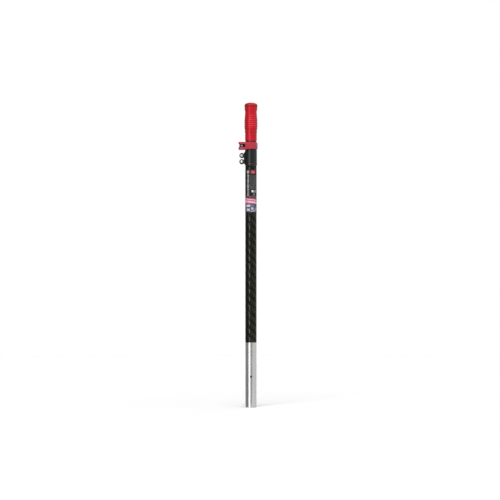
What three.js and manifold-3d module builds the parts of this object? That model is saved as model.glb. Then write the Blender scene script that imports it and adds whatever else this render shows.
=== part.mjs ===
// Telescopic drywall-tool pole with a flip-lock clamp, collapsed and locked.
// Millimetres, +Z up. The origin is on the tubes' axis at the tool end of the outer tube.
// +X is to the right and -Y is the front; the clamp's ears and the lever's pivot are on the -X side.
import * as THREE from 'three';
import { mergeVertices } from 'three/addons/utils/BufferGeometryUtils.js';
import Module from 'manifold-3d';

const wasm = await Module();
wasm.setup();

// Facets round a full turn, for tubes, for fasteners, and for small holes.
const ROUND = 40;
const MEDIUM = 24;
const FINE = 16;

// Outer tube, 1-1/4 in, and its 1 in inner tube.
const OUTER_R = 15.875;
const OUTER_BORE_R = 14.375;
const OUTER_TOP = 732.5;
const INNER_R = 12.7;
const INNER_BORE_R = 11.5;
const INNER_BOTTOM = 105;
const INNER_TOP = 858;
const DEBURR = 0.4;

// Holes near the tool end: the button hole is in the front wall only, the pin hole goes right through.
const BUTTON_Z = 88;
const BUTTON_R = 3.4;
const PIN_HOLE_Z = 7.6;
const PIN_HOLE_R = 2.3;

// Printed sleeve and the two film labels on it. Each label leaves a narrow seam at the back.
const SLEEVE_BOTTOM = 185;
const SLEEVE_R = 16.125;
const SLEEVE_WALL = 0.2;
const BAND_LABEL_Z = [552.5, 598];
const SPEC_LABEL_Z = [598.6, 680];
const LABEL_R = 16.32;
const LABEL_WALL = 0.14;
const LABEL_SEAM = 3;

// Guide bush in the outer tube's mouth. Its lower face stops the pole at full length.
const TRAVEL = 558.8;
const GUIDE_BORE_R = 12.9;
const GUIDE_R = 14.3;

// Glide bush, turning on the inner tube's foot between two snap rings in grooves.
const GLIDE_Z = [108, 128];
const GLIDE_BORE_R = 12.85;
const GLIDE_R = 14.2;
const RING_HEIGHT = 1.6;
const RING_GAP = 0.3;
const RING_R = 13.7;
const GROOVE_R = 12.35;

// Clamp collar: fixed lower part, flexing upper part, and a relief cut between them.
const COLLAR_BOTTOM = 691;
const COLLAR_SHOULDER = 733;
const COLLAR_TOP = 757.2;
const COLLAR_R = 17.1;
const COLLAR_UPPER_R = 16.1;
const COLLAR_BORE_R = 15.95;
const COLLAR_UPPER_BORE_R = 13.9;
const RIM_R = 17.4;
const RIM_HEIGHT = 3.5;
const RELIEF_Z = [735.2, 736.6];
const SLIT = 1.6;
const EAR_X = -25.9;
const EAR_TIP_X = -32.7;
const EAR_Y = 6;
const EAR_Z = [737.4, 756];
const BOSS_R = 7.15;
const BOSS_Y = 8;
const BOSS_Z = { upper: 719, lower: 701.3 };
const PLATE_X = -20.6;
const PLATE_Y = 6.5;

// Split friction liner between the clamp and the inner tube.
const LINER_BORE_R = 12.85;
const LINER_R = 13.8;
const LINER_FLANGE_R = 15.6;
const LINER_Z = [733.3, 757.5, 758.7];

// M4 pinch screws and nuts.
const PINCH = { r: 1.95, headR: 3.5, head: 3.7, recess: 3.5, recessR: 4.1, flats: 7, nut: 3.2 };

// Quick-release bolt, M5, and the cross barrel that the lever turns on.
const BOLT_Z = 746.5;
const BOLT = { r: 2.4, headR: 4.25, head: 5, front: -23, washerR: 5, washer: 1 };
const BARREL_R = 4;
const BARREL_HOLE_R = 4.3;
const BARREL_Z = [735.2, 756];

// Flip lever: an eccentric head on the barrel, and a band round the front and right of the clamp.
const PIVOT = new THREE.Vector2(EAR_X, -18.4);
const THROW = 1.1;
const HEAD = new THREE.Vector2(PIVOT.x, PIVOT.y + THROW);
const HEAD_R = 9.3;
const HEAD_FRONT = THREE.MathUtils.degToRad(-60);
const HEAD_BACK = THREE.MathUtils.degToRad(-325);
const NECK_X = -15;
const HEAD_Z = [734.4, 756.8];
const FORK_Z = [742.2, 750.8];
const FORK_END_X = -17;
const BAND_Z = [737, 756];
const BAND_INNER_R = 16.6;
const BAND_OUTER_R = 18.4;
const BAND_FRONT_Y = -20.4;
const BAND_CORNER = THREE.MathUtils.degToRad(-20);
const BAND_END = THREE.MathUtils.degToRad(28);
const BAND_ROOT = THREE.MathUtils.degToRad(-140);
const LIP_R = 20.6;

// Saddle that the eccentric head presses on.
const SADDLE_X = [-32.2, -20];
const SADDLE_Z = [738.5, 755];
const SADDLE_WALL = 1.5;
const SADDLE_GAP = 0.3;

// Grip and end cap.
const GRIP_BOTTOM = 759;
const GRIP_TOP = 858.4;
const GRIP_BORE_R = 12.78;
const CAP_BOTTOM = 858.8;
const CAP_TOP = 870.5;
const CAP_R = 18.5;
const PLUG_R = 11.35;
const PLUG_BOTTOM = 836;

const GAP = 0.3;

const finishes = {
  aluminium: new THREE.MeshStandardMaterial({ color: 0xc4c5c4, roughness: 0.3, metalness: 1 }),
  printedFilm: new THREE.MeshStandardMaterial({ color: 0x23241f, roughness: 0.35, metalness: 0 }),
  label: new THREE.MeshStandardMaterial({ color: 0x3c3b40, roughness: 0.3, metalness: 0 }),
  blackNylon: new THREE.MeshStandardMaterial({ color: 0x242424, roughness: 0.55, metalness: 0 }),
  blackAcetal: new THREE.MeshStandardMaterial({ color: 0x1b1b1c, roughness: 0.4, metalness: 0 }),
  whiteAcetal: new THREE.MeshStandardMaterial({ color: 0xdcdad2, roughness: 0.4, metalness: 0 }),
  redPlastic: new THREE.MeshStandardMaterial({ color: 0xb8323a, roughness: 0.4, metalness: 0 }),
  redRubber: new THREE.MeshStandardMaterial({ color: 0xc02c33, roughness: 0.65, metalness: 0 }),
  steel: new THREE.MeshStandardMaterial({ color: 0xb9bbbd, roughness: 0.3, metalness: 1 }),
};

const part = new THREE.Group();

function solid(geometry) {
  const shape = geometry.clone();
  shape.deleteAttribute('normal');
  shape.deleteAttribute('uv');
  const merged = mergeVertices(shape, 1e-4);
  const index = merged.index.array;
  const triangles = [];
  for (let i = 0; i < index.length; i += 3) {
    const [a, b, c] = [index[i], index[i + 1], index[i + 2]];
    if (a !== b && b !== c && c !== a) triangles.push(a, b, c);
  }
  return new wasm.Manifold(new wasm.Mesh({
    numProp: 3,
    vertProperties: new Float32Array(merged.attributes.position.array),
    triVerts: new Uint32Array(triangles),
  }));
}

function add(name, finish, shape) {
  const mesh = shape.getMesh();
  const geometry = new THREE.BufferGeometry();
  geometry.setAttribute('position', new THREE.BufferAttribute(mesh.vertProperties, 3));
  geometry.setIndex(new THREE.BufferAttribute(mesh.triVerts, 1));
  geometry.computeVertexNormals();
  const piece = new THREE.Mesh(geometry, finishes[finish]);
  piece.name = name;
  part.add(piece);
}

// A profile of [radius, height] points turned about the Z axis.
function turned(profile, facets = ROUND) {
  const points = profile.map(([r, z]) => new THREE.Vector2(r, z));
  return solid(new THREE.LatheGeometry(points, facets).rotateX(Math.PI / 2));
}

function ring(boreR, outerR, bottom, top, facets = ROUND, chamfer = 0) {
  return turned([
    [boreR + chamfer, bottom],
    [outerR - chamfer, bottom],
    ...(chamfer ? [[outerR, bottom + chamfer], [outerR, top - chamfer]] : []),
    [outerR - chamfer, top],
    [boreR + chamfer, top],
    ...(chamfer ? [[boreR, top - chamfer], [boreR, bottom + chamfer]] : []),
    [boreR + chamfer, bottom],
  ], facets);
}

// A round bar along Z on the tubes' axis.
function rod(r, bottom, top, facets = ROUND, chamfer = 0) {
  return turned([
    [0, bottom],
    [r - chamfer, bottom],
    ...(chamfer ? [[r, bottom + chamfer], [r, top - chamfer]] : []),
    [r - chamfer, top],
    [0, top],
  ], facets);
}

// A round bar, or with six facets a hexagonal one, along Y from back to front at (x, z).
function barAlongY(r, x, z, y0, y1, facets = MEDIUM, chamfer = 0) {
  return rod(r, y0, y1, facets, chamfer).rotate([-90, 0, 0]).translate([x, 0, z]);
}

function box(x0, x1, y0, y1, z0, z1) {
  const geometry = new THREE.BoxGeometry(x1 - x0, y1 - y0, z1 - z0);
  return solid(geometry).translate([(x0 + x1) / 2, (y0 + y1) / 2, (z0 + z1) / 2]);
}

// An outline in plan, raised from one height to another.
function raised(shape, z0, z1, curveSegments = 12) {
  const geometry = new THREE.ExtrudeGeometry(shape, { depth: z1 - z0, bevelEnabled: false, curveSegments });
  return solid(geometry).translate([0, 0, z0]);
}

function on(centre, radius, angle) {
  return new THREE.Vector2(centre.x + radius * Math.cos(angle), centre.y + radius * Math.sin(angle));
}

function hexRadius(acrossFlats) {
  return acrossFlats / Math.sqrt(3);
}

function addOuterTube() {
  const tube = ring(OUTER_BORE_R, OUTER_R, 0, OUTER_TOP, ROUND, DEBURR);
  const button = barAlongY(BUTTON_R, 0, BUTTON_Z, -OUTER_R - 1, 0, FINE);
  const pin = barAlongY(PIN_HOLE_R, 0, PIN_HOLE_Z, -OUTER_R - 1, OUTER_R + 1, FINE);
  add('outer_tube', 'aluminium', tube.subtract(button).subtract(pin));
}

function addSkins() {
  const sleeve = ring(SLEEVE_R - SLEEVE_WALL, SLEEVE_R, SLEEVE_BOTTOM, COLLAR_BOTTOM - GAP);
  add('carbon_sleeve', 'printedFilm', sleeve);
  const seam = box(-LABEL_SEAM / 2, LABEL_SEAM / 2, 0, OUTER_R * 2, 0, COLLAR_BOTTOM);
  const labels = { band_label: BAND_LABEL_Z, spec_label: SPEC_LABEL_Z };
  for (const [name, [bottom, top]] of Object.entries(labels)) {
    add(name, 'label', ring(LABEL_R - LABEL_WALL, LABEL_R, bottom, top).subtract(seam));
  }
}

function addGuideBush() {
  const stop = GLIDE_Z[1] + RING_GAP + RING_HEIGHT + TRAVEL + GAP;
  add('guide_bush', 'blackAcetal', ring(GUIDE_BORE_R, GUIDE_R, stop, OUTER_TOP));
}

// Side plate of the fixed part of the collar: it slopes in to the wall above and below the bosses.
function sidePlate() {
  const shape = new THREE.Shape();
  shape.moveTo(-OUTER_R, COLLAR_BOTTOM + 1);
  shape.lineTo(PLATE_X, COLLAR_BOTTOM + 5);
  shape.lineTo(PLATE_X, COLLAR_SHOULDER - 8);
  shape.lineTo(-OUTER_R, COLLAR_SHOULDER - 1);
  shape.closePath();
  const geometry = new THREE.ExtrudeGeometry(shape, { depth: 2 * PLATE_Y, bevelEnabled: false });
  geometry.rotateX(Math.PI / 2).translate(0, PLATE_Y, 0);
  return solid(geometry);
}

// Upper ear pair in plan, with round outer corners.
function earBlock() {
  const corner = 2.5;
  const shape = new THREE.Shape();
  shape.moveTo(-COLLAR_UPPER_BORE_R, -EAR_Y);
  shape.lineTo(-COLLAR_UPPER_BORE_R, EAR_Y);
  shape.lineTo(EAR_TIP_X + corner, EAR_Y);
  shape.absarc(EAR_TIP_X + corner, EAR_Y - corner, corner, Math.PI / 2, Math.PI, false);
  shape.lineTo(EAR_TIP_X, corner - EAR_Y);
  shape.absarc(EAR_TIP_X + corner, corner - EAR_Y, corner, Math.PI, 1.5 * Math.PI, false);
  shape.closePath();
  return raised(shape, EAR_Z[0], EAR_Z[1], 5);
}

function addCollar() {
  const shoulderTop = RELIEF_Z[0];
  let collar = turned([
    [COLLAR_BORE_R, COLLAR_BOTTOM],
    [RIM_R - DEBURR, COLLAR_BOTTOM],
    [RIM_R, COLLAR_BOTTOM + DEBURR],
    [RIM_R, COLLAR_BOTTOM + RIM_HEIGHT],
    [COLLAR_R, COLLAR_BOTTOM + RIM_HEIGHT + 1],
    [COLLAR_R, shoulderTop - DEBURR],
    [COLLAR_R - DEBURR, shoulderTop],
    [COLLAR_UPPER_R, shoulderTop],
    [COLLAR_UPPER_R, COLLAR_TOP - DEBURR],
    [COLLAR_UPPER_R - DEBURR, COLLAR_TOP],
    [COLLAR_UPPER_BORE_R, COLLAR_TOP],
    [COLLAR_UPPER_BORE_R, COLLAR_SHOULDER],
    [COLLAR_BORE_R, COLLAR_SHOULDER],
    [COLLAR_BORE_R, COLLAR_BOTTOM],
  ]);
  const tubeSpace = rod(COLLAR_BORE_R, COLLAR_BOTTOM - 1, COLLAR_SHOULDER);
  const linerSpace = rod(COLLAR_UPPER_BORE_R, COLLAR_SHOULDER, COLLAR_TOP + 1);
  collar = collar
    .add(sidePlate().subtract(tubeSpace))
    .add(earBlock().subtract(linerSpace));
  for (const z of Object.values(BOSS_Z)) {
    const nutPocket = PINCH.nut + GAP;
    collar = collar
      .add(barAlongY(BOSS_R, EAR_X, z, -BOSS_Y, BOSS_Y, MEDIUM, DEBURR))
      .subtract(barAlongY(PINCH.r + GAP, EAR_X, z, -BOSS_Y - 1, BOSS_Y + 1, FINE))
      .subtract(barAlongY(PINCH.recessR, EAR_X, z, -BOSS_Y - 1, PINCH.recess - BOSS_Y, MEDIUM))
      .subtract(barAlongY(hexRadius(PINCH.flats) + GAP, EAR_X, z, BOSS_Y - nutPocket, BOSS_Y + 1, 6));
  }
  collar = collar
    .subtract(barAlongY(BOLT.r + 0.4, EAR_X, BOLT_Z, -EAR_Y - 1, EAR_Y + 1, FINE))
    .subtract(box(-40, -OUTER_BORE_R + 2, -SLIT / 2, SLIT / 2, COLLAR_BOTTOM - 1, COLLAR_TOP + 1))
    .subtract(box(-40, 3, -40, 40, RELIEF_Z[0], RELIEF_Z[1]));
  add('clamp_collar', 'blackNylon', collar);
}

function addLiner() {
  const [bottom, underFlange, top] = LINER_Z;
  const liner = turned([
    [LINER_BORE_R, bottom],
    [LINER_R, bottom],
    [LINER_R, underFlange],
    [LINER_FLANGE_R, underFlange],
    [LINER_FLANGE_R, top - DEBURR],
    [LINER_FLANGE_R - DEBURR, top],
    [LINER_BORE_R + DEBURR, top],
    [LINER_BORE_R, top - DEBURR],
    [LINER_BORE_R, bottom],
  ]);
  add('friction_liner', 'blackAcetal', liner.subtract(box(-20, 0, -SLIT / 2, SLIT / 2, bottom - 1, top + 1)));
}

function addPinchScrews() {
  for (const [side, z] of Object.entries(BOSS_Z)) {
    const seat = PINCH.recess - BOSS_Y - GAP / 2;
    const head = barAlongY(PINCH.headR, EAR_X, z, seat - PINCH.head, seat, FINE, DEBURR);
    const shank = barAlongY(PINCH.r, EAR_X, z, seat - 1, BOSS_Y, FINE);
    const socket = barAlongY(hexRadius(3), EAR_X, z, seat - PINCH.head - 1, seat - PINCH.head + 2, 6);
    add(`pinch_screw_${side}`, 'steel', head.add(shank).subtract(socket));
    const nut = barAlongY(hexRadius(PINCH.flats), EAR_X, z, BOSS_Y - PINCH.nut, BOSS_Y, 6)
      .subtract(barAlongY(PINCH.r + 0.15, EAR_X, z, 0, BOSS_Y + 1, FINE));
    add(`pinch_nut_${side}`, 'steel', nut);
  }
}

function addQuickReleaseBolt() {
  const washerSeat = EAR_Y + 0.2;
  const headSeat = washerSeat + BOLT.washer + 0.2;
  const washer = barAlongY(BOLT.washerR, EAR_X, BOLT_Z, washerSeat, washerSeat + BOLT.washer, MEDIUM)
    .subtract(barAlongY(BOLT.r + 0.25, EAR_X, BOLT_Z, 0, headSeat + 1, FINE));
  add('bolt_washer', 'steel', washer);
  const shank = barAlongY(BOLT.r, EAR_X, BOLT_Z, BOLT.front, headSeat + 1, FINE, DEBURR);
  const head = barAlongY(BOLT.headR, EAR_X, BOLT_Z, headSeat, headSeat + BOLT.head, MEDIUM, DEBURR);
  const end = headSeat + BOLT.head;
  const socket = barAlongY(hexRadius(4), EAR_X, BOLT_Z, end - 2.5, end + 1, 6);
  add('clamp_bolt', 'steel', shank.add(head).subtract(socket));
  const bar = rod(BARREL_R, BARREL_Z[0], BARREL_Z[1], MEDIUM, DEBURR).translate([PIVOT.x, PIVOT.y, 0]);
  const thread = barAlongY(BOLT.r + 0.15, EAR_X, BOLT_Z, PIVOT.y - 6, PIVOT.y + 6, FINE);
  add('lever_barrel', 'steel', bar.subtract(thread));
}

function addSaddle() {
  const sweep = HEAD_R + THROW + SADDLE_GAP;
  const back = PIVOT.y + sweep + SADDLE_WALL;
  const block = box(SADDLE_X[0], SADDLE_X[1], PIVOT.y + 6, back, SADDLE_Z[0], SADDLE_Z[1]);
  const hollow = rod(sweep, SADDLE_Z[0] - 1, SADDLE_Z[1] + 1).translate([PIVOT.x, PIVOT.y, 0]);
  const hole = barAlongY(BOLT.r + 0.4, EAR_X, BOLT_Z, PIVOT.y, 0, FINE);
  add('cam_saddle', 'blackAcetal', block.subtract(hollow).subtract(hole));
}

// The lever's eccentric head in plan, with the short neck that carries the band.
function headOutline() {
  const front = on(HEAD, HEAD_R, HEAD_FRONT);
  const neckFront = BAND_FRONT_Y + 0.6;
  const neckBack = BAND_FRONT_Y + 8.6;
  const shape = new THREE.Shape();
  shape.moveTo(NECK_X, neckFront);
  shape.bezierCurveTo(NECK_X - 2, neckFront - 0.4, front.x + 3.9, front.y + 2.6, front.x, front.y);
  shape.absarc(HEAD.x, HEAD.y, HEAD_R, HEAD_FRONT, HEAD_BACK, true);
  shape.lineTo(NECK_X, neckBack);
  shape.quadraticCurveTo(NECK_X + 3, (neckFront + neckBack) / 2, NECK_X, neckFront);
  return shape;
}

// The band in plan: from the thumb lip at its free end, along the outside to the head's front,
// then back along the inside, at a constant distance from the collar.
function bandOutline() {
  const axis = new THREE.Vector2(0, 0);
  const inside = on(axis, BAND_INNER_R, BAND_END);
  const lip = on(axis, LIP_R, BAND_END);
  const leave = on(axis, BAND_OUTER_R, BAND_CORNER);
  const cornerX = leave.x - (BAND_FRONT_Y - leave.y) * Math.tan(BAND_CORNER);
  const front = on(HEAD, HEAD_R, HEAD_FRONT);
  const back = on(HEAD, HEAD_R, HEAD_BACK);
  const shape = new THREE.Shape();
  shape.moveTo(inside.x, inside.y);
  shape.lineTo(lip.x, lip.y);
  shape.quadraticCurveTo(BAND_OUTER_R, LIP_R / 5, BAND_OUTER_R, 0);
  shape.absarc(0, 0, BAND_OUTER_R, 0, BAND_CORNER, true);
  shape.quadraticCurveTo(cornerX, BAND_FRONT_Y, cornerX - 7, BAND_FRONT_Y);
  shape.lineTo(NECK_X + 3, BAND_FRONT_Y);
  shape.bezierCurveTo(NECK_X - 1, BAND_FRONT_Y, front.x + 3.9, front.y + 2.25, front.x, front.y);
  shape.lineTo(HEAD.x, HEAD.y);
  shape.lineTo(back.x, back.y);
  shape.absarc(0, 0, BAND_INNER_R, BAND_ROOT, BAND_END, false);
  return shape;
}

function addLever() {
  const fork = box(-2 * LIP_R, FORK_END_X, -2 * LIP_R, 0, FORK_Z[0], FORK_Z[1]);
  const pivotHole = rod(BARREL_HOLE_R, HEAD_Z[0] - 1, HEAD_Z[1] + 1, MEDIUM);
  const lever = raised(bandOutline(), BAND_Z[0], BAND_Z[1])
    .add(raised(headOutline(), HEAD_Z[0], HEAD_Z[1]))
    .subtract(fork)
    .subtract(pivotHole.translate([PIVOT.x, PIVOT.y, 0]));
  add('clamp_lever', 'redPlastic', lever);
}

function addInnerTube() {
  const slack = 0.05;
  const ringBottoms = {
    lower: GLIDE_Z[0] - RING_GAP - RING_HEIGHT,
    upper: GLIDE_Z[1] + RING_GAP,
  };
  const grooves = Object.values(ringBottoms).flatMap((bottom) => [
    [INNER_R, bottom - slack],
    [GROOVE_R, bottom - slack],
    [GROOVE_R, bottom + RING_HEIGHT + slack],
    [INNER_R, bottom + RING_HEIGHT + slack],
  ]);
  add('inner_tube', 'aluminium', turned([
    [INNER_BORE_R, INNER_TOP],
    [INNER_BORE_R, INNER_BOTTOM],
    [INNER_R, INNER_BOTTOM],
    ...grooves,
    [INNER_R, INNER_TOP],
    [INNER_BORE_R, INNER_TOP],
  ]));
  for (const [side, bottom] of Object.entries(ringBottoms)) {
    const opening = box(-2 * RING_R, 0, -RING_GAP * 5, RING_GAP * 5, bottom - 1, bottom + RING_HEIGHT + 1);
    const snap = ring(GROOVE_R + 2 * slack, RING_R, bottom, bottom + RING_HEIGHT);
    add(`snap_ring_${side}`, 'steel', snap.subtract(opening));
  }
}

function addGlideBush() {
  add('glide_bush', 'whiteAcetal', ring(GLIDE_BORE_R, GLIDE_R, GLIDE_Z[0], GLIDE_Z[1]));
}

// Hand-shaped sleeve: a lower neck, a palm swell, an upper neck and a flange under the cap.
function addGrip() {
  const swell = new THREE.SplineCurve([
    [16.75, 762],
    [16.75, 780],
    [17.7, 790],
    [18.7, 801],
    [18.75, 810],
    [18.6, 820],
    [17.6, 829],
    [16.95, 838],
    [16.95, 845],
    [17.5, 849],
    [18.65, 852],
  ].map(([r, z]) => new THREE.Vector2(r, z)));
  const outside = swell.getPoints(13).map((p) => [Math.min(p.x, 18.75), p.y]);
  add('grip', 'redRubber', turned([
    [GRIP_BORE_R, GRIP_BOTTOM],
    [15.9, GRIP_BOTTOM],
    [16.5, GRIP_BOTTOM + 0.6],
    ...outside,
    [18.65, GRIP_TOP - 0.5],
    [18.3, GRIP_TOP],
    [GRIP_BORE_R, GRIP_TOP],
    [GRIP_BORE_R, GRIP_BOTTOM],
  ]));
}

// Domed cap with a plug that fits in the inner tube.
function addEndCap() {
  const flat = CAP_BOTTOM + 5.2;
  const rise = CAP_TOP - flat;
  const dome = [];
  for (let step = 1; step <= 5; step += 1) {
    const angle = (step / 6) * (Math.PI / 2);
    dome.push([CAP_R * Math.cos(angle) ** 0.62, flat + rise * Math.sin(angle)]);
  }
  add('end_cap', 'redPlastic', turned([
    [0, PLUG_BOTTOM],
    [PLUG_R - 1, PLUG_BOTTOM],
    [PLUG_R, PLUG_BOTTOM + 1.5],
    [PLUG_R, CAP_BOTTOM],
    [CAP_R - 0.4, CAP_BOTTOM],
    [CAP_R, CAP_BOTTOM + 0.4],
    [CAP_R, flat],
    ...dome,
    [0, CAP_TOP],
  ]));
}

addOuterTube();
addSkins();
addGuideBush();
addCollar();
addLiner();
addPinchScrews();
addQuickReleaseBolt();
addSaddle();
addLever();
addInnerTube();
addGlideBush();
addGrip();
addEndCap();

export default part;
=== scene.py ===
# Looks of the telescopic drywall-tool pole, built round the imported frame.
# Shapes are made in millimetres in the frame's own axes, and scaled to metres when they are placed.
import math

import bmesh
import bpy
from mathutils import Matrix, Vector


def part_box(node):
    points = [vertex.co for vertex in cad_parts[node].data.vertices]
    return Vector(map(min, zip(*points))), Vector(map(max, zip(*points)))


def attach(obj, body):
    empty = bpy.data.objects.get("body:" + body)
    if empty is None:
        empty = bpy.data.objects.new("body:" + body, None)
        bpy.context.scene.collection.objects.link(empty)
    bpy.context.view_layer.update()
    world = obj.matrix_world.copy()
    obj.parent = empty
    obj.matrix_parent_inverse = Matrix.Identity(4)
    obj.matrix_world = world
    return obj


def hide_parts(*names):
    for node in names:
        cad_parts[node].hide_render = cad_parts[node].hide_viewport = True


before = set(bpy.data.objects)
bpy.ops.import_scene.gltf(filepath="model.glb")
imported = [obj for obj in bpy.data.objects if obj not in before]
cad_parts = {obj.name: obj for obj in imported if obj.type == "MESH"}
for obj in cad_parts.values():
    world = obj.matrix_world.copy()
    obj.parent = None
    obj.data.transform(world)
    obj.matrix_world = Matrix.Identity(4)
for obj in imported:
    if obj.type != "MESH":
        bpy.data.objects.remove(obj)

MM = 0.001
TURN = 2 * math.pi
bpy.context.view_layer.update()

# ---------------------------------------------------------------- sizes


def span(node):
    """Lowest and highest corner of a CAD node, in millimetres."""
    low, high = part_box(node)
    return low / MM, high / MM


TUBE_LOW, TUBE_HIGH = span("outer_tube")
TUBE_R = TUBE_HIGH.x
TUBE_WALL = 1.5
INNER_LOW, INNER_HIGH = span("inner_tube")
INNER_R = INNER_HIGH.x
INNER_WALL = 1.2
COLLAR_LOW, COLLAR_HIGH = span("clamp_collar")
LEVER_LOW, LEVER_HIGH = span("clamp_lever")
GRIP_LOW, GRIP_HIGH = span("grip")
CAP_LOW, CAP_HIGH = span("end_cap")
SLEEVE_LOW, SLEEVE_HIGH = span("carbon_sleeve")

# Round the clamp: where its bolts and the lever's pivot are.
SCREWS = {side: sum(corner.z for corner in span(f"pinch_screw_{side}")) / 2 for side in ("upper", "lower")}
BARREL_LOW, BARREL_HIGH = span("lever_barrel")
BARREL_R = (BARREL_HIGH.x - BARREL_LOW.x) / 2
PIVOT = (BARREL_LOW.xy + BARREL_HIGH.xy) / 2
BOLT_LOW, BOLT_HIGH = span("clamp_bolt")
BOLT_Z = (BOLT_LOW.z + BOLT_HIGH.z) / 2
EAR_X = PIVOT.x

# Holes in the tool end, each as radius and height: the spring button's, and the pin's.
BUTTON_HOLE = (3.4, 88)
PIN_HOLE = (2.3, 7.6)

# Clamp collar: the skirt, the thinner ring above its shoulder, and the ears and bosses at its side.
COLLAR_R = 17.1
COLLAR_UPPER_R = 16.1
LINER_R = 13.9
SHOULDER_Z = TUBE_HIGH.z + 0.5
RELIEF = (SHOULDER_Z + 2.2, SHOULDER_Z + 3.6)
EAR_Y = 6
BOSS_Y = 8
BOSS_R = 7.15
BOLT_CLEARANCE_R = 2.8

# Lever: the eccentric head, the band round the collar, and the fork that the bolt's end shows in.
HEAD = PIVOT + Vector((0, 1.1))
HEAD_R = 9.3
BAND_INNER_R = 16.6
BAND_OUTER_R = 18.4
BAND_FRONT_Y = -20.4
BAND_Z = (737, 756)
LIP_R = 20.5
FORK = (BOLT_Z - 4.3, BOLT_Z + 4.3)
FORK_END_X = -16.2

# Brightness of the studio by direction, in degrees to the right of the camera's own.
PEAK = 6.0
HORIZON = [
    (-180, 0.5), (-140, 0.5), (-115, 0.3), (-100, 0.2), (-72, 0.2), (-56, 0.45),
    (-42, 0.6), (-37, 3.0), (-25, 3.0), (-18, 0.6), (-4, 0.35), (12, 0.24),
    (26, 0.42), (42, 0.62), (115, 0.7), (140, 0.6), (180, 0.5),
]
OVERHEAD = [
    (-180, 0.3), (-75, 0.05), (-50, 0.8), (-38, 4.5), (-10, 4.5),
    (25, 3.0), (70, 1.6), (100, 1.4), (140, 1.2), (180, 0.3),
]
BELOW = [
    (-180, 0.3), (-70, 0.15), (-45, 0.7), (-39, 2.5), (-24, 2.5),
    (-17, 0.9), (0, 1.0), (90, 0.8), (180, 0.3),
]

# ---------------------------------------------------------------- mesh tools


def rounded(corners, steps=6):
    """A closed outline in which each (a, b, radius) corner becomes an arc."""
    points = []
    for k, (a, b, radius) in enumerate(corners):
        here = Vector((a, b))
        if not radius:
            points.append(here)
            continue
        to_last = (Vector(corners[k - 1][:2]) - here).normalized()
        to_next = (Vector(corners[(k + 1) % len(corners)][:2]) - here).normalized()
        half = to_last.angle(to_next) / 2
        centre = here + (to_last + to_next).normalized() * (radius / math.sin(half))
        first = here + to_last * (radius / math.tan(half)) - centre
        last = here + to_next * (radius / math.tan(half)) - centre
        start = math.atan2(first.y, first.x)
        swing = (math.atan2(last.y, last.x) - start + math.pi) % TURN - math.pi
        for step in range(steps + 1):
            points.append(centre + radius * heading(start + swing * step / steps))
    return points


def heading(angle):
    """Unit vector in plan, at an angle in radians from +X."""
    return Vector((math.cos(angle), math.sin(angle)))


def unit(value):
    """A value held between 0 and 1."""
    return min(1, max(0, value))


def ease(t):
    """Soft step from 0 to 1."""
    return t * t * (3 - 2 * t)


def arc(centre, radius, start, end, steps=24):
    """Points on an arc between two angles in degrees."""
    sweep = (end - start) / steps
    return [Vector(centre) + radius * heading(math.radians(start + sweep * k)) for k in range(steps + 1)]


def bezier(a, b, c, d, steps=14):
    """Points on a cubic curve, without its first and last."""
    points = []
    for k in range(1, steps):
        t = k / steps
        s = 1 - t
        points.append(a * s**3 + b * (3 * t * s * s) + c * (3 * t * t * s) + d * t**3)
    return points


def as_object(name, mesh):
    """Closes a mesh under construction, faces it outward, and makes it an object."""
    bmesh.ops.remove_doubles(mesh, verts=mesh.verts, dist=1e-4)
    bmesh.ops.delete(mesh, geom=[edge for edge in mesh.edges if edge.is_wire], context="EDGES")
    bmesh.ops.recalc_face_normals(mesh, faces=mesh.faces)
    data = bpy.data.meshes.new(name)
    mesh.to_mesh(data)
    mesh.free()
    made = bpy.data.objects.new(name, data)
    bpy.context.scene.collection.objects.link(made)
    return made


def turned(name, outline, segments=144, gap=0.0, centre=math.pi):
    """A closed outline of (radius, height) turned about Z, less a gap in degrees round an angle."""
    mesh = bmesh.new()
    gap = math.radians(gap)
    count = segments if gap == 0 else segments + 1
    rings = []
    for step in range(count):
        angle = centre + gap / 2 + (TURN - gap) * step / segments
        rings.append([mesh.verts.new((r * math.cos(angle), r * math.sin(angle), z)) for r, z in outline])
    pairs = zip(rings, rings[1:] + ([rings[0]] if gap == 0 else []))
    for one, other in pairs:
        for k in range(len(outline)):
            corners = [one[k - 1], other[k - 1], other[k], one[k]]
            mesh.faces.new(corners)
    if gap:
        mesh.faces.new(rings[0])
        mesh.faces.new(rings[-1])
    return as_object(name, mesh)


def rod(name, radius, bottom, top, edge=0.0, segments=96):
    """A solid cylinder up the Z axis, with rounded rims."""
    outline = rounded([(0, bottom, 0), (radius, bottom, edge), (radius, top, edge), (0, top, 0)], 4)
    return turned(name, outline, segments)


def ring(name, bore, outer, bottom, top, edge=0.0, segments=144, gap=0.0):
    """A tube up the Z axis, with rounded rims, split by a gap in degrees where one is given."""
    corners = [(bore, bottom, edge), (outer, bottom, edge), (outer, top, edge), (bore, top, edge)]
    return turned(name, rounded(corners, 4), segments, gap)


def inset(outline, depth):
    """A counter-clockwise outline moved inward."""
    moved_points = []
    for k, here in enumerate(outline):
        before = (here - outline[k - 1]).normalized()
        after = (outline[(k + 1) % len(outline)] - here).normalized()
        inward = Vector((-before.y - after.y, before.x + after.x)).normalized()
        reach = max(0.4, inward.dot(Vector((-before.y, before.x))))
        moved_points.append(here + inward * (depth / reach))
    return moved_points


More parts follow.
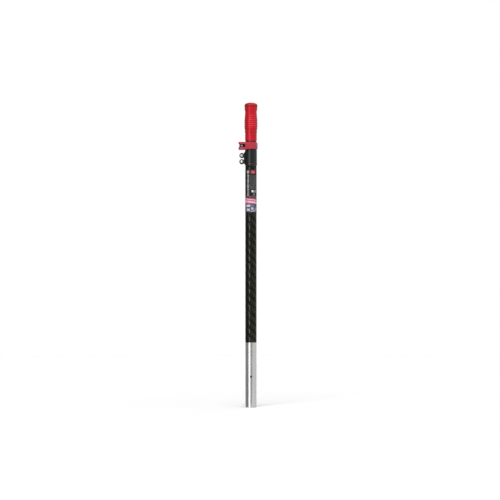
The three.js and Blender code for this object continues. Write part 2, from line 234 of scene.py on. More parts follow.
def raised(name, outline, bottom, top, edge=0.0, steps=4):
    """An outline in plan, raised from one height to another, with its rims rounded."""
    outline = [Vector(point) for point in outline]
    area = sum(a.x * b.y - b.x * a.y for a, b in zip(outline, outline[1:] + outline[:1]))
    if area < 0:
        outline.reverse()
    levels = [(0, bottom), (0, top)]
    if edge:
        turns = [math.pi / 2 * k / steps for k in range(steps + 1)]
        levels = [(edge * (1 - math.sin(a)), bottom + edge * (1 - math.cos(a))) for a in turns]
        levels += [(depth, bottom + top - z) for depth, z in reversed(levels)]
    mesh = bmesh.new()
    rings = [[mesh.verts.new((*point, z)) for point in inset(outline, depth)] for depth, z in levels]
    for low, high in zip(rings, rings[1:]):
        for k in range(len(low)):
            mesh.faces.new([low[k - 1], low[k], high[k], high[k - 1]])
    mesh.faces.new(rings[0])
    mesh.faces.new(rings[-1])
    return as_object(name, mesh)


def block(name, x, y, z, edge=0.0):
    """A box between two values on each axis."""
    corners = [(x[0], y[0], edge), (x[1], y[0], edge), (x[1], y[1], edge), (x[0], y[1], edge)]
    return raised(name, rounded(corners, 4), z[0], z[1], edge)


def along_y(piece, x, z):
    """Turns a piece made up the Z axis so that its height runs back along Y, at (x, z)."""
    piece.data.transform(Matrix.Translation((x, 0, z)) @ Matrix.Rotation(-math.pi / 2, 4, "X"))
    return piece


def moved(piece, x, y):
    """Shifts a piece in plan."""
    piece.data.transform(Matrix.Translation((x, y, 0)))
    return piece


def settle(piece):
    """Turns a piece's modifiers into its mesh."""
    shown = piece.evaluated_get(bpy.context.evaluated_depsgraph_get())
    piece.data = bpy.data.meshes.new_from_object(shown)
    piece.modifiers.clear()
    return piece


def combine(piece, other, operation):
    """Joins, cuts or intersects two closed pieces, and uses up the other one."""
    modifier = piece.modifiers.new("join", "BOOLEAN")
    modifier.operation = operation
    modifier.solver = "MANIFOLD"
    modifier.object = other
    settle(piece)
    bpy.data.objects.remove(other)
    return piece


def join(piece, *others):
    for other in others:
        combine(piece, other, "UNION")
    return piece


def cut(piece, *others):
    for other in others:
        combine(piece, other, "DIFFERENCE")
    return piece


def place(piece, body, slot, material, *nodes, sharp=32):
    """Scales a finished piece to metres, gives it its material, and lets it stand for its CAD node."""
    piece.data.transform(Matrix.Scale(MM, 4))
    for face in piece.data.polygons:
        face.use_smooth = True
    piece.data.set_sharp_from_angle(angle=math.radians(sharp))
    piece.data.materials.clear()
    piece.data.materials.append(material)
    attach(piece, body)
    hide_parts(*nodes)


# ---------------------------------------------------------------- material tools


class Shader:
    """A material's node tree, with short calls for the nodes that the finishes share."""

    def __init__(self, name, colour, roughness, metallic=0.0, **fixed):
        self.material = bpy.data.materials.new(name)
        self.material.use_nodes = True
        self.tree = self.material.node_tree
        self.surface = self.tree.nodes["Principled BSDF"]
        self.set(self.surface, {"Base Color": (*colour, 1), "Roughness": roughness, "Metallic": metallic})
        self.set(self.surface, fixed)
        self.place = self.add("TexCoord").outputs["Object"]

    def set(self, node, values):
        for key, value in values.items():
            socket = node.inputs[key]
            if isinstance(value, bpy.types.NodeSocket):
                self.tree.links.new(value, socket)
            else:
                socket.default_value = value

    def add(self, kind, values=None, **settings):
        node = self.tree.nodes.new("ShaderNode" + kind)
        for key, value in settings.items():
            setattr(node, key, value)
        self.set(node, values or {})
        return node

    def maths(self, operation, *values):
        return self.add("Math", dict(enumerate(values)), operation=operation).outputs[0]

    def stretched(self, x, y, z):
        values = {"Vector": self.place, "Scale": (x, y, z)}
        return self.add("Mapping", values, vector_type="POINT").outputs[0]

    def noise(self, scale, detail=3.0, rough=0.55, where=None):
        values = {"Vector": where or self.place, "Scale": scale, "Detail": detail, "Roughness": rough}
        return self.add("TexNoise", values).outputs[0]

    def between(self, value, low, high, out_low=0.0, out_high=1.0):
        values = {0: value, 1: low, 2: high, 3: out_low, 4: out_high}
        return self.add("MapRange", values, interpolation_type="SMOOTHSTEP").outputs[0]

    def blend(self, factor, first, second):
        node = self.add("Mix", data_type="RGBA")
        sockets = [socket for socket in node.inputs if socket.enabled]
        self.tree.links.new(factor, sockets[0])
        for socket, colour in zip(sockets[1:], (first, second)):
            if isinstance(colour, bpy.types.NodeSocket):
                self.tree.links.new(colour, socket)
            else:
                socket.default_value = (*colour, 1)
        return next(socket for socket in node.outputs if socket.enabled)

    def within(self, value, low, high):
        return self.maths("COMPARE", value, (low + high) / 2, (high - low) / 2)

    def relief(self, *layers):
        """Bumps, each (height, depth in metres), one over the other."""
        normal = None
        for height, depth in layers:
            values = {"Height": height, "Distance": depth, "Strength": 1.0}
            if normal:
                values["Normal"] = normal
            normal = self.add("Bump", values).outputs[0]
        self.set(self.surface, {"Normal": normal})

    def colour(self, value):
        self.set(self.surface, {"Base Color": value})

    def rough(self, value):
        self.set(self.surface, {"Roughness": value})


def drawn_aluminium(name, tone, wear_top):
    """Drawn tube: fine lines along its length, handling haze, and rub marks up to a height."""
    s = Shader(name, (tone, tone, tone * 0.985), 0.24, 1.0)
    lines = s.noise(1, 4, 0.7, s.stretched(2600, 2600, 5))
    broad = s.noise(1, 2, 0.5, s.stretched(420, 420, 2.5))
    haze = s.noise(38, 3, 0.6)
    scratches = s.noise(1, 2, 0.5, s.stretched(70, 70, 5200))
    height = s.add("SeparateXYZ", {"Vector": s.place}).outputs["Z"]
    worn = s.between(height, wear_top, wear_top - 0.05, 0, 1)
    rubbed = s.maths("MULTIPLY", s.between(scratches, 0.62, 0.72), worn)
    dull = s.maths("MULTIPLY_ADD", s.between(haze, 0.4, 0.75), 0.07, 0.2)
    dull = s.maths("MULTIPLY_ADD", lines, 0.07, dull)
    s.rough(s.maths("MULTIPLY_ADD", rubbed, 0.12, dull))
    shade = s.blend(s.between(broad, 0.35, 0.7), (tone,) * 3, (tone * 0.9, tone * 0.9, tone * 0.89))
    s.colour(s.blend(rubbed, shade, (tone * 0.75, tone * 0.75, tone * 0.75)))
    s.relief((lines, 4e-6), (scratches, 3e-6))
    return s.material


def carbon_print():
    """Coarse two-by-two twill, printed under a clear coat: tows up the tube over tows round it."""
    tows_round = 16
    tow_height = 0.00572
    s = Shader("carbon_print", (0.02, 0.02, 0.018), 0.3, 1.0)
    axes = s.add("SeparateXYZ", {"Vector": s.place}).outputs
    sway = s.maths("MULTIPLY", s.maths("SUBTRACT", s.noise(24, 1), 0.5), 0.35)
    angle = s.maths("ARCTAN2", axes["Y"], axes["X"])
    u = s.maths("ADD", s.maths("MULTIPLY_ADD", angle, tows_round / TURN, tows_round), sway)
    v = s.maths("ADD", s.maths("DIVIDE", axes["Z"], tow_height), sway)
    in_u = s.maths("FRACT", u)
    in_v = s.maths("FRACT", v)
    step = s.maths("MODULO", s.maths("ADD", s.maths("FLOOR", u), s.maths("FLOOR", v)), 4.0)
    upright = s.maths("LESS_THAN", step, 1.5)
    level = s.maths("SUBTRACT", 1.0, upright)

    def pick(when_upright, when_level):
        kept = s.maths("MULTIPLY", when_upright, upright)
        return s.maths("MULTIPLY_ADD", when_level, level, kept)

    across = pick(in_u, in_v)
    first = s.maths("ADD", step, in_v)
    second = s.maths("SUBTRACT", s.maths("ADD", step, in_u), 2.0)
    along = s.maths("MULTIPLY", pick(first, second), 0.5)
    off_centre = s.maths("ABSOLUTE", s.maths("MULTIPLY_ADD", across, 2.0, -1.0))
    crown = s.maths("SUBTRACT", 1.0, s.maths("POWER", off_centre, 3.0))
    hump = s.maths("SINE", s.maths("MULTIPLY", along, math.pi))
    height = s.maths("MULTIPLY", crown, s.maths("MULTIPLY_ADD", hump, 0.5, 0.5))

    def strands(across_u, across_v):
        scaled = {0: s.maths("MULTIPLY", u, across_u), 1: s.maths("MULTIPLY", v, across_v)}
        return s.noise(1, 2, 0.6, s.add("CombineXYZ", scaled).outputs[0])

    fibres = pick(strands(26.0, 1.2), strands(1.2, 26.0))
    tow = s.add("CombineXYZ", {0: s.maths("FLOOR", u), 1: s.maths("FLOOR", v)}).outputs[0]
    chance = s.add("TexWhiteNoise", {"Vector": tow}, noise_dimensions="2D").outputs["Value"]
    light = s.maths("MULTIPLY_ADD", upright, 0.5, s.maths("MULTIPLY", chance, 0.3))
    light = s.maths("MULTIPLY_ADD", fibres, 0.4, light)
    light = s.maths("MULTIPLY", light, s.maths("MULTIPLY_ADD", crown, 0.7, 0.3))
    s.colour(s.blend(light, (0.002, 0.002, 0.0016), (0.064, 0.064, 0.054)))
    s.rough(s.between(light, 0.2, 0.75, 0.5, 0.15))
    s.relief((height, 2.0e-4), (fibres, 2e-5))
    return s.material


def moulded(name, colour, roughness, grain, grain_depth, **fixed):
    """Moulded plastic or rubber: fine grain, faint flow marks, and edges rubbed lighter."""
    s = Shader(name, colour, roughness, 0.0, **fixed)
    fine = s.noise(grain, 2, 0.5)
    flow = s.noise(1, 3, 0.6, s.stretched(60, 60, 22))
    edge = s.between(s.add("NewGeometry").outputs["Pointiness"], 0.52, 0.58)
    scuffs = s.between(s.noise(420, 3, 0.7), 0.5, 0.68)
    worn = s.maths("MULTIPLY", edge, scuffs)
    darker = tuple(channel * 0.8 for channel in colour)
    paler = tuple(min(1, channel * 1.35 + 0.03) for channel in colour)
    body = s.blend(s.between(flow, 0.3, 0.7), colour, darker)
    s.colour(s.blend(s.maths("MULTIPLY", worn, 0.6), body, paler))
    s.rough(s.maths("MULTIPLY_ADD", fine, 0.12, s.maths("MULTIPLY_ADD", flow, 0.1, roughness - 0.1)))
    s.relief((fine, grain_depth))
    return s.material


def plated_steel(name, tone, roughness):
    """Plated steel with a faint mottle and turned lines."""
    s = Shader(name, (tone, tone, tone), roughness, 1.0)
    mottle = s.noise(1400, 3, 0.6)
    lines = s.noise(1, 2, 0.6, s.stretched(500, 9000, 500))
    bright = (tone * 1.06, tone * 1.07, tone * 1.08)
    s.colour(s.blend(s.between(mottle, 0.3, 0.7), bright, (tone * 0.92,) * 3))
    s.rough(s.maths("MULTIPLY_ADD", mottle, 0.12, roughness - 0.06))
    s.relief((lines, 2e-6))
    return s.material


INK = (0.006, 0.0058, 0.0062)
PAPER_SHADE = (0.01, 0.0095, 0.01)
ALUMINIUM = drawn_aluminium("drawn_aluminium", 0.8, 0.11)
INNER_ALUMINIUM = drawn_aluminium("inner_aluminium", 0.84, 0.9)
CARBON = carbon_print()
NYLON = moulded("black_nylon", (0.007, 0.007, 0.007), 0.3, 5200, 6e-6)
BLACK_ACETAL = moulded("black_acetal", (0.012, 0.012, 0.013), 0.32, 9000, 3e-6)
WHITE_ACETAL = moulded("white_acetal", (0.68, 0.66, 0.6), 0.35, 9000, 3e-6)
RED_PLASTIC = moulded("red_plastic", (0.47, 0.03, 0.05), 0.3, 4200, 4e-6)
SOFT = {"Specular IOR Level": 0.32}
RED_GLOSS = {"IOR": 1.8, "Specular IOR Level": 0.8, "Specular Tint": (1, 0.12, 0.16, 1)}
RED_RUBBER = moulded("red_rubber", (0.53, 0.011, 0.019), 0.27, 6500, 6e-6, **RED_GLOSS)
RED_CAP = moulded("red_cap", (0.4, 0.011, 0.015), 0.36, 6500, 6e-6, **SOFT)
STEEL = plated_steel("zinc_steel", 0.66, 0.26)
DARK_STEEL = plated_steel("oxide_steel", 0.06, 0.3)


def label_print(name, patches, marks=()):
    """A printed label: (left, right, bottom, top, colour) patches in degrees and mm, then its marks."""
    s = Shader(name, INK, 0.3, 0.0, **{"Specular IOR Level": 0.3})
    axes = s.add("SeparateXYZ", {"Vector": s.place}).outputs
    turn = s.maths("ARCTAN2", axes["X"], s.maths("MULTIPLY", axes["Y"], -1.0))
    turn = s.maths("MULTIPLY", turn, 360 / TURN)
    rise = s.maths("DIVIDE", axes["Z"], MM)
    shown = s.blend(s.noise(120, 2), INK, PAPER_SHADE)
    for left, right, bottom, top, colour in patches:
        patch = s.maths("MULTIPLY", s.within(turn, left, right), s.within(rise, bottom, top))
        shown = s.blend(patch, shown, colour)
    for mark, colour in marks:
        shown = s.blend(mark(s, turn, rise), shown, colour)
    scuffs = s.noise(300, 4, 0.7)
    s.colour(s.blend(s.between(scuffs, 0.66, 0.8, 0, 0.35), shown, (0.06, 0.06, 0.06)))
    s.rough(s.maths("MULTIPLY_ADD", scuffs, 0.2, 0.24))
    s.relief((s.noise(2500, 2), 4e-6))
    return s.material


def bar_stack(s, turn, rise):
    """A column of blocks of uneven width."""
    row = s.maths("DIVIDE", rise, 3.3)
    chance = s.add("TexWhiteNoise", {"W": s.maths("FLOOR", row)}, noise_dimensions="1D").outputs["Value"]
    reach = s.maths("MULTIPLY_ADD", chance, 6.0, 6.5)
    wide = s.maths("LESS_THAN", s.maths("ABSOLUTE", s.maths("ADD", turn, 31.0)), reach)
    tall = s.maths("LESS_THAN", s.maths("FRACT", row), 0.62)
    return s.maths("MULTIPLY", s.maths("MULTIPLY", wide, tall), s.within(rise, 604, 665))


def fine_lines(s, turn, rise):
    """Thin upright lines in short lengths."""
    column = s.maths("DIVIDE", turn, 8.5)
    apart = s.maths("MULTIPLY", s.maths("FLOOR", column), 17.3)
    where = s.add("CombineXYZ", {0: s.maths("MULTIPLY", rise, 0.55), 1: apart}).outputs[0]
    lengths = s.maths("GREATER_THAN", s.noise(1, 1, 0.5, where), 0.45)
    thin = s.maths("LESS_THAN", s.maths("FRACT", column), 0.45)
    lines = s.maths("MULTIPLY", lengths, thin)
    lines = s.maths("MULTIPLY", lines, s.within(turn, -10, 66))
    return s.maths("MULTIPLY", lines, s.within(rise, 621, 662))


def slanted_stripes(s, turn, rise):
    """Two pale stripes that drop a little as they go round."""
    height = s.maths("MULTIPLY_ADD", turn, 0.035, rise)
    stripes = [s.within(height, low, high) for low, high in ((583.2, 588.8), (591.6, 594.4))]
    return s.maths("MULTIPLY", s.maths("MAXIMUM", *stripes), s.within(turn, -110, 75))


def long_arc(s, turn, rise):
    """A thin curved line that rises to the right."""
    bend = s.maths("POWER", s.maths("MULTIPLY", s.maths("SUBTRACT", turn, 5.0), 0.016), 2.0)
    height = s.maths("SUBTRACT", rise, s.maths("MULTIPLY_ADD", bend, 7.0, 559.4))
    line = s.maths("LESS_THAN", s.maths("ABSOLUTE", height), 1.1)
    return s.maths("MULTIPLY", line, s.within(turn, -4, 75))


# ---------------------------------------------------------------- tubes


def make_tubes():
    """Outer tube with its tool-end holes, the printed sleeve over it, and the inner tube."""
    bore = TUBE_R - TUBE_WALL
    tube = ring("outer_tube_fine", bore, TUBE_R, TUBE_LOW.z, TUBE_HIGH.z, 0.45, 160)
    button = along_y(rod("button_cut", BUTTON_HOLE[0], -TUBE_R - 2, 0, 0, 64), 0, BUTTON_HOLE[1])
    pin = along_y(rod("pin_cut", PIN_HOLE[0], -TUBE_R - 2, TUBE_R + 2, 0, 48), 0, PIN_HOLE[1])
    cut(tube, button, pin)
    place(tube, "outer_pole", "aluminium", ALUMINIUM, "outer_tube")

    low, high = SLEEVE_LOW.z, SLEEVE_HIGH.z
    sleeve = ring("carbon_sleeve_fine", TUBE_R + 0.03, SLEEVE_HIGH.x, low, high, 0.08, 160)
    place(sleeve, "outer_pole", "printed_sleeve", CARBON, "carbon_sleeve")

    inner = ring("inner_tube_fine", INNER_R - INNER_WALL, INNER_R, INNER_LOW.z, INNER_HIGH.z, 0.35, 160)
    place(inner, "inner_pole", "aluminium", INNER_ALUMINIUM, "inner_tube")


def make_bushes():
    """The bushes the poles slide on, the glide bush's snap rings, and the clamp's split liner."""
    for node, body, slot, material in (
        ("guide_bush", "outer_pole", "black_acetal", BLACK_ACETAL),
        ("glide_bush", "glide", "white_acetal", WHITE_ACETAL),
    ):
        low, high = span(node)
        piece = ring(f"{node}_fine", INNER_R + 0.15, high.x, low.z, high.z, 0.5)
        place(piece, body, slot, material, node)
    for side in ("lower", "upper"):
        low, high = span(f"snap_ring_{side}")
        piece = ring(f"snap_ring_{side}_fine", INNER_R + 0.02, high.y, low.z, high.z, 0.25, 120, gap=14)
        place(piece, "inner_pole", "steel", STEEL, f"snap_ring_{side}")
    low, high = span("friction_liner")
    flange = 1.2
    outline = rounded([
        (INNER_R + 0.15, low.z, 0.3),
        (INNER_R + 1.1, low.z, 0.3),
        (INNER_R + 1.1, high.z - flange, 0),
        (high.x, high.z - flange, 0.2),
        (high.x, high.z, 0.4),
        (INNER_R + 0.15, high.z, 0.4),
    ], 4)
    liner = turned("friction_liner_fine", outline, gap=6)
    place(liner, "outer_pole", "black_acetal", BLACK_ACETAL, "friction_liner")


# ---------------------------------------------------------------- labels


def make_labels():
    """The specification label and the coloured band below it, each a film round the sleeve."""
    low, high = span("spec_label")
    patches = [
        (-44, -19, 667.5, 675.5, (0.36, 0.37, 0.31)),
        (-9, 54, 664, 679, (0.045, 0.004, 0.006)),
        (0, 46, 666.5, 676, (0.36, 0.05, 0.065)),
        (8, 38, 670.2, 672.4, (0.52, 0.2, 0.22)),
        (3, 62, 613, 619.5, (0.22, 0.21, 0.22)),
        (9, 23, 614.2, 618.8, (0.9, 0.88, 0.89)),
        (20, 47, 604, 611.5, (0.1, 0.13, 0.12)),
        (-110, 110, 598, 603.5, (0.13, 0.06, 0.08)),
    ]
    marks = [(bar_stack, (0.45, 0.435, 0.44)), (fine_lines, (0.16, 0.152, 0.156))]
    spec = ring("spec_label_fine", SLEEVE_HIGH.x + 0.02, high.x, low.z, high.z, 0.05, 144)
    place(spec, "outer_pole", "label_film", label_print("spec_print", patches, marks), "spec_label")

    low, high = span("band_label")
    patches = [
        (-110, 110, 581, 600, (0.16, 0.05, 0.075)),
        (-85, 50, 581, 595.5, (0.4, 0.1, 0.155)),
        (-110, 110, 557, 581, (0.07, 0.075, 0.125)),
        (-52, -8, 571.8, 578.6, (0.58, 0.52, 0.6)),
        (-46, -12, 560.4, 567.2, (0.56, 0.54, 0.64)),
        (1, 27, 564, 570.4, (0.5, 0.49, 0.58)),
        (-4, 32, 573.4, 577.6, (0.16, 0.2, 0.26)),
        (38, 60, 566.2, 570.4, (0.2, 0.2, 0.26)),
    ]
    marks = [(slanted_stripes, (0.8, 0.4, 0.5)), (long_arc, (0.55, 0.54, 0.62))]
    band = ring("band_label_fine", SLEEVE_HIGH.x + 0.02, high.x, low.z, high.z, 0.05, 144)
    place(band, "outer_pole", "label_film", label_print("band_print", patches, marks), "band_label")


# ---------------------------------------------------------------- clamp


def make_collar():
    """Clamp collar: one solid that is bored, slit and relieved, so that its ears can draw together."""
    bottom, top = COLLAR_LOW.z, COLLAR_HIGH.z
    bore = TUBE_R + 0.08
    collar = turned("clamp_collar_fine", rounded([
        (0, bottom, 0),
        (COLLAR_R + 0.3, bottom, 0.5),
        (COLLAR_R + 0.3, bottom + 3.6, 0.5),
        (COLLAR_R, bottom + 4.6, 0.6),
        (COLLAR_R, RELIEF[0], 0.5),
        (COLLAR_UPPER_R, RELIEF[0], 0),
        (COLLAR_UPPER_R, top, 0.6),
        (0, top, 0),
    ], 5), 160)
    wall = -bore - 0.3
    plate = [
        (wall, bottom + 1.5, 0),
        (-20.6, bottom + 5.5, 2),
        (-20.6, SHOULDER_Z - 8, 2),
        (wall, SHOULDER_Z - 1.5, 0),
        (-14, SHOULDER_Z - 1.5, 0),
        (-14, bottom + 1.5, 0),
    ]
    plates = raised("plates", [(x, -z) for x, z in rounded(plate, 5)], -6.5, 6.5, 0.7)
    along_y(plates, 0, 0)
    side = COLLAR_LOW.x
    ear = rounded([(-14, -EAR_Y, 0), (-14, EAR_Y, 0), (side, EAR_Y, 2.5), (side, -EAR_Y, 2.5)])
    ears = raised("ears", ear, RELIEF[1] + 0.8, top - 1.2, 0.7)
    bosses = [along_y(rod("boss", BOSS_R, -BOSS_Y, BOSS_Y, 0.6, 96), EAR_X, z) for z in SCREWS.values()]
    join(collar, plates, ears, *bosses)
    cut(collar, rod("tube_space", bore, bottom - 1, SHOULDER_Z + 1, 0, 151))
    cut(collar, rod("liner_space", LINER_R, SHOULDER_Z, top + 1, 0, 149))
    cut(collar, block("relief", (-50, 3), (-50, 50), (RELIEF[0] + 0.02, RELIEF[1])))
    cut(collar, block("slit", (-50, -11), (-0.8, 0.8), (bottom - 1, top + 1)))
    for z in SCREWS.values():
        cut(collar, along_y(rod("shank_hole", 2.25, -BOSS_Y - 1, BOSS_Y + 1, 0, 48), EAR_X, z))
        cut(collar, along_y(rod("recess", 4.1, -BOSS_Y - 1, 3.5 - BOSS_Y, 0, 64), EAR_X, z))
        pocket = raised("pocket", hexagon(7.6), BOSS_Y - 3.5, BOSS_Y + 1)
        cut(collar, along_y(pocket, EAR_X, z))
    cut(collar, along_y(rod("bolt_hole", BOLT_CLEARANCE_R, -EAR_Y - 1, EAR_Y + 1, 0, 48), EAR_X, BOLT_Z))
    place(collar, "outer_pole", "black_nylon", NYLON, "clamp_collar")


def hexagon(across):
    """Outline of a hexagon, by its width across flats."""
    reach = across / math.sqrt(3)
    return [reach * heading(math.radians(60 * k)) for k in range(6)]


def cap_screw(name, head_r, head, seat, shank_r, far, socket, dome=0.0):
    """A socket screw up the Z axis: its head's top is lowest, and its shank ends at far."""
    outer = seat - head
    knurls = 36
    outline = []
    for k in range(knurls * 4):
        cut_in = 0.17 if k % 4 < 2 and not dome else 0
        outline.append(heading(TURN * (k + 0.3) / (knurls * 4)) * (head_r + 0.05 - cut_in))
    screw = raised(name, outline, outer, seat)
    edge = [(0, outer, 0), (head_r, outer, 0.5), (head_r, seat, 0.15), (0, seat, 0)]
    shape = rounded(edge, 4)
    if dome:
        steps = [k / 10 for k in range(11)]
        shape = [(head_r * t, outer + dome * t * t) for t in steps] + [(head_r, seat), (0, seat)]
    combine(screw, turned("head_edge", shape, 97), "INTERSECT")
    cut(screw, raised("socket", hexagon(socket), outer - 1, outer + head * 0.55))
    join(screw, rod("shank", shank_r, seat - 0.5, far, 0.4, 48))
    return screw


def make_screws():
    """The two pinch screws and their nuts."""
    for side, z in SCREWS.items():
        low, high = span(f"pinch_screw_{side}")
        head_r = (high.x - low.x) / 2
        screw = cap_screw(f"pinch_screw_{side}_fine", head_r, 3.7, low.y + 3.7, 1.95, high.y, 2.5, 0.7)
        place(along_y(screw, EAR_X, z), "outer_pole", "steel", STEEL, f"pinch_screw_{side}")
        low, high = span(f"pinch_nut_{side}")
        nut = raised(f"pinch_nut_{side}_fine", hexagon(7), low.y, high.y)
        corner = 7 / math.sqrt(3) + 0.02
        edge = [(0, low.y, 0), (corner - 0.45, low.y, 0), (corner, low.y + 0.4, 0)]
        edge += [(corner, high.y - 0.4, 0), (corner - 0.45, high.y, 0), (0, high.y, 0)]
        combine(nut, turned("nut_edge", rounded(edge), 72), "INTERSECT")
        cut(nut, rod("thread", 2.1, low.y - 1, high.y + 1, 0, 40))
        place(along_y(nut, EAR_X, z), "outer_pole", "steel", STEEL, f"pinch_nut_{side}")


def make_bolt():
    """Quick-release bolt with its washer, and the cross barrel that the lever turns on."""
    low, high = BOLT_LOW, BOLT_HIGH
    head = 5
    bolt = cap_screw("clamp_bolt_fine", 4.25, head, head - high.y, 2.4, -low.y, 4)
    bolt.data.transform(Matrix.Scale(-1, 4, (0, 0, 1)))
    bolt.data.flip_normals()
    place(along_y(bolt, EAR_X, BOLT_Z), "outer_pole", "steel", STEEL, "clamp_bolt")
    low, high = span("bolt_washer")
    washer = ring("bolt_washer_fine", 2.65, high.z - BOLT_Z, low.y, high.y, 0.2, 72)
    place(along_y(washer, EAR_X, BOLT_Z), "outer_pole", "steel", STEEL, "bolt_washer")
    barrel = moved(rod("lever_barrel_fine", BARREL_R, BARREL_LOW.z, BARREL_HIGH.z, 0.5, 72), *PIVOT)
    cut(barrel, along_y(rod("thread", 2.55, PIVOT.y - 6, PIVOT.y + 6, 0, 48), EAR_X, BOLT_Z))
    place(barrel, "outer_pole", "steel", DARK_STEEL, "lever_barrel")


def make_saddle():
    """Pad that the lever's eccentric head presses on, hollowed round the pivot."""
    low, high = span("cam_saddle")
    hollow_r = 10.7
    ends = [math.degrees(math.acos((x - PIVOT.x) / hollow_r)) for x in (low.x, high.x)]
    plan = arc(PIVOT, hollow_r, *ends, 40) + [Vector((high.x, high.y)), Vector((low.x, high.y))]
    saddle = raised("cam_saddle_fine", plan, low.z, high.z, 0.25)
    cut(saddle, along_y(rod("bolt_hole", BOLT_CLEARANCE_R, -20, 0, 0, 48), EAR_X, BOLT_Z))
    place(saddle, "outer_pole", "black_acetal", BLACK_ACETAL, "cam_saddle")


# ---------------------------------------------------------------- lever


def lever_outline():
    """The lever in plan: lip, outside of the band, eccentric head, inside of the band."""
    end = 28
    corner = math.radians(-20)
    leave = BAND_OUTER_R * heading(corner)
    turn = Vector((leave.x - (BAND_FRONT_Y - leave.y) * math.tan(corner), BAND_FRONT_Y))
    flat = turn - Vector((7, 0))
    front = HEAD + HEAD_R * heading(math.radians(-60))
    neck = Vector((-12, BAND_FRONT_Y))
    side = Vector((BAND_OUTER_R, 0))
    points = rounded([
        (*(BAND_INNER_R * heading(math.radians(end - 4))), 0),
        (*(BAND_INNER_R * heading(math.radians(end))), 0.7),
        (*(LIP_R * heading(math.radians(end))), 0.9),
        (*((LIP_R - 0.2) * heading(math.radians(end - 7))), 0),
    ])
    last = points[-1]
    points += bezier(last, Vector((BAND_OUTER_R + 0.1, last.y - 2.5)), side + Vector((0, 2)), side)
    points += arc((0, 0), BAND_OUTER_R, 0, -20, 8)
    points += bezier(leave, leave.lerp(turn, 0.67), flat.lerp(turn, 0.67), flat)
    points += [flat, neck]
    points += bezier(neck, neck - Vector((4, 0)), front + Vector((3.9, 2.25)), front)
    points += arc(HEAD, HEAD_R, -60, -325, 60)
    points += arc((0, 0), BAND_INNER_R, -140, end - 5, 56)
    return points


def make_lever():
    """Flip lever: one outline, thinner round the band than at its forked head."""
    lever = raised("clamp_lever_fine", lever_outline(), LEVER_LOW.z, LEVER_HIGH.z, 0.8)
    mesh = bmesh.new()
    mesh.from_mesh(lever.data)
    slices = 16
    start, end = -17.0, -9.0
    for k in range(slices + 1):
        x = start + (end - start) * k / slices
        whole = mesh.verts[:] + mesh.edges[:] + mesh.faces[:]
        bmesh.ops.bisect_plane(mesh, geom=whole, plane_co=(x, 0, 0), plane_no=(1, 0, 0))
    for vert in mesh.verts:
        t = ease(unit((vert.co.x - start) / (end - start)))
        if vert.co.z > BOLT_Z:
            vert.co.z += t * (BAND_Z[1] - LEVER_HIGH.z)
        else:
            vert.co.z += t * (BAND_Z[0] - LEVER_LOW.z)
    mesh.to_mesh(lever.data)
    mesh.free()
    corner = 1.8
    low, high = FORK
    fork = [(-40, low, 0), (FORK_END_X, low, corner), (FORK_END_X, high, corner), (-40, high, 0)]
    slot = raised("fork", [(x, -z) for x, z in rounded(fork, 8)], -40, 0)
    cut(lever, along_y(slot, 0, 0))
    cut(lever, moved(rod("pivot_hole", BARREL_R + 0.3, LEVER_LOW.z - 1, LEVER_HIGH.z + 1, 0, 72), *PIVOT))
    place(lever, "lever", "red_plastic", RED_PLASTIC, "clamp_lever")


# ---------------------------------------------------------------- grip and cap


def make_grip():
    """Hand-shaped rubber sleeve with shallow ribs round it."""
    bottom, top = GRIP_LOW.z, GRIP_HIGH.z
    shape = [
        (bottom + 0.2, 16.4), (762, 17.0), (780, 17.0), (790, 17.7), (801, 18.72), (810, 18.74),
        (820, 18.7), (829, 17.75), (838, 17.1), (845, 17.05), (851.5, 18.6), (854, 18.65), (top, 18.65),
    ]
    pitch = 5.7
    crests = [836.7 - pitch * k for k in range(8)] + [785.3] + [776.7 - pitch * k for k in range(3)]

    def radius(z):
        k = next((i for i in range(1, len(shape) - 1) if z <= shape[i][0]), len(shape) - 2)
        (z0, r0), (z1, r1) = shape[k - 1], shape[k]
        return r0 + (r1 - r0) * ease((z - z0) / (z1 - z0)) - rib_depth(z)

    def rib_depth(z):
        """Rounded ribs: a close set over the swell, one at its foot, and three on the lower neck."""
        nearest = min(abs(z - crest) for crest in crests)
        depth = 0.45 + 0.3 * unit((z - 790) / 10) * unit((828 - z) / 10)
        return depth * (1 - math.cos(math.pi * min(1, nearest / (pitch / 2)))) / 2

    steps = 420
    low, high = bottom + 1.2, top - 0.9
    heights = [low + (high - low) * k / steps for k in range(steps + 1)]
    outside = [(radius(z), z) for z in heights]
    bore = INNER_R + 0.08
    outline = [(bore, bottom), (radius(low) - 1.0, bottom), (radius(low) - 0.3, bottom + 0.35)]
    outline += outside
    outline += [(18.45, top - 0.35), (18.0, top), (bore, top)]
    place(turned("grip_fine", outline, 144), "inner_pole", "red_rubber", RED_RUBBER, "grip", sharp=50)


def make_cap():
    """Domed end cap with a plug that goes down into the inner tube."""
    top = CAP_HIGH.z
    rim = CAP_HIGH.x
    side = GRIP_HIGH.z + 0.4
    shoulder = side + 4.2
    dome = [(rim * math.cos(a), shoulder + (top - shoulder) * math.sin(a))
            for a in (math.radians(90 * k / 20) for k in range(1, 20))]
    plug = INNER_R - INNER_WALL - 0.15
    outline = [(0, CAP_LOW.z), (plug - 1, CAP_LOW.z), (plug, CAP_LOW.z + 1.5), (plug, side)]
    outline += [(rim - 0.8, side), (rim - 0.25, side + 0.25), (rim, side + 0.8), (rim, shoulder)]
    outline += dome + [(0, top)]
    place(turned("end_cap_fine", outline, 144), "inner_pole", "red_cap", RED_CAP, "end_cap", sharp=50)


# ---------------------------------------------------------------- stage


def make_floor():
    """Plain pale floor just below the pole."""
    floor = rod("floor", 2500, -4, -0.5, 0, 64)
    floor.data.transform(Matrix.Scale(MM, 4))
    s = Shader("floor", (0.85, 0.85, 0.85), 0.7)
    s.colour(s.blend(s.noise(3, 2), (0.86, 0.86, 0.86), (0.84, 0.84, 0.84)))
    floor.data.materials.append(s.material)
    floor.visible_glossy = False
    floor.visible_diffuse = False


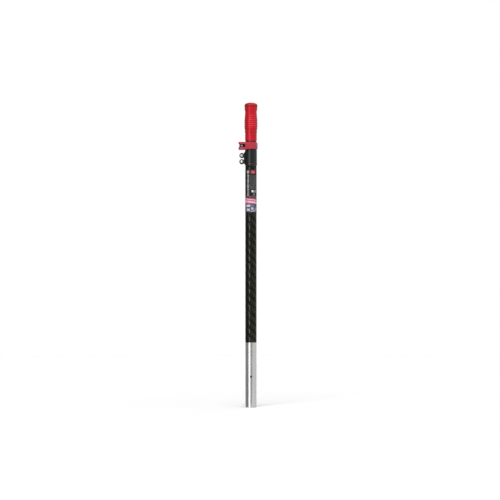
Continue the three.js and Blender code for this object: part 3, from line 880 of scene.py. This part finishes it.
def make_studio():
    """Soft light round the pole, set by direction, behind plain white that only the camera sees."""
    world = bpy.data.worlds.new("studio")
    bpy.context.scene.world = world
    world.use_nodes = True
    tree = world.node_tree
    link = tree.links.new

    def add(kind, **settings):
        node = tree.nodes.new("ShaderNode" + kind)
        for key, value in settings.items():
            setattr(node, key, value)
        return node

    def maths(operation, a, b):
        node = add("Math", operation=operation)
        for socket, value in zip(node.inputs, (a, b)):
            if isinstance(value, bpy.types.NodeSocket):
                link(value, socket)
            else:
                socket.default_value = value
        return node.outputs[0]

    def ramp(factor, stops):
        node = add("ValToRGB")
        link(factor, node.inputs[0])
        elements = node.color_ramp.elements
        elements.remove(elements[1])
        elements[0].position = stops[0][0]
        elements[0].color = (stops[0][1] / PEAK,) * 3 + (1,)
        for position, value in stops[1:]:
            elements.new(position).color = (value / PEAK,) * 3 + (1,)
        return node.outputs[0]

    axes = add("SeparateXYZ")
    link(add("TexCoord").outputs["Generated"], axes.inputs[0])
    azimuth = maths("ARCTAN2", axes.outputs["X"], maths("MULTIPLY", axes.outputs["Y"], -1.0))
    azimuth = maths("ADD", maths("DIVIDE", azimuth, TURN), 0.5)
    sky = None
    for stops, low, high in ((HORIZON, 0, 0), (OVERHEAD, 0.45, 0.65), (BELOW, -0.15, -0.35)):
        shade = ramp(azimuth, [(0.5 + degrees / 360, value) for degrees, value in stops])
        if sky is None:
            sky = shade
            continue
        lift = add("MapRange", interpolation_type="SMOOTHSTEP")
        link(axes.outputs["Z"], lift.inputs[0])
        lift.inputs[1].default_value = low
        lift.inputs[2].default_value = high
        mix = add("Mix", data_type="RGBA")
        ports = [port for port in mix.inputs if port.enabled]
        link(lift.outputs[0], ports[0])
        link(sky, ports[1])
        link(shade, ports[2])
        sky = next(port for port in mix.outputs if port.enabled)
    lit = add("Background")
    link(sky, lit.inputs[0])
    lit.inputs[1].default_value = PEAK
    plain = add("Background")
    plain.inputs[0].default_value = (1, 1, 1, 1)
    both = add("MixShader")
    link(add("LightPath").outputs["Is Camera Ray"], both.inputs[0])
    link(lit.outputs[0], both.inputs[1])
    link(plain.outputs[0], both.inputs[2])
    link(both.outputs[0], tree.nodes["World Output"].inputs[0])


def make_camera():
    """Level camera in front of the pole, far enough off for a nearly flat view."""
    distance = 5.0
    width = 1.43
    camera = bpy.data.cameras.new("camera")
    camera.sensor_width = 36
    camera.lens = camera.sensor_width * distance / width
    view = bpy.data.objects.new("camera", camera)
    view.location = (-0.00266, -distance, 0.449)
    view.rotation_euler = (math.pi / 2, 0, 0)
    bpy.context.scene.collection.objects.link(view)
    bpy.context.scene.camera = view
    bpy.context.scene.view_settings.view_transform = "Standard"


make_floor()
make_studio()
make_camera()
make_tubes()
make_bushes()
make_labels()
make_collar()
make_screws()
make_bolt()
make_saddle()
make_lever()
make_grip()
make_cap()
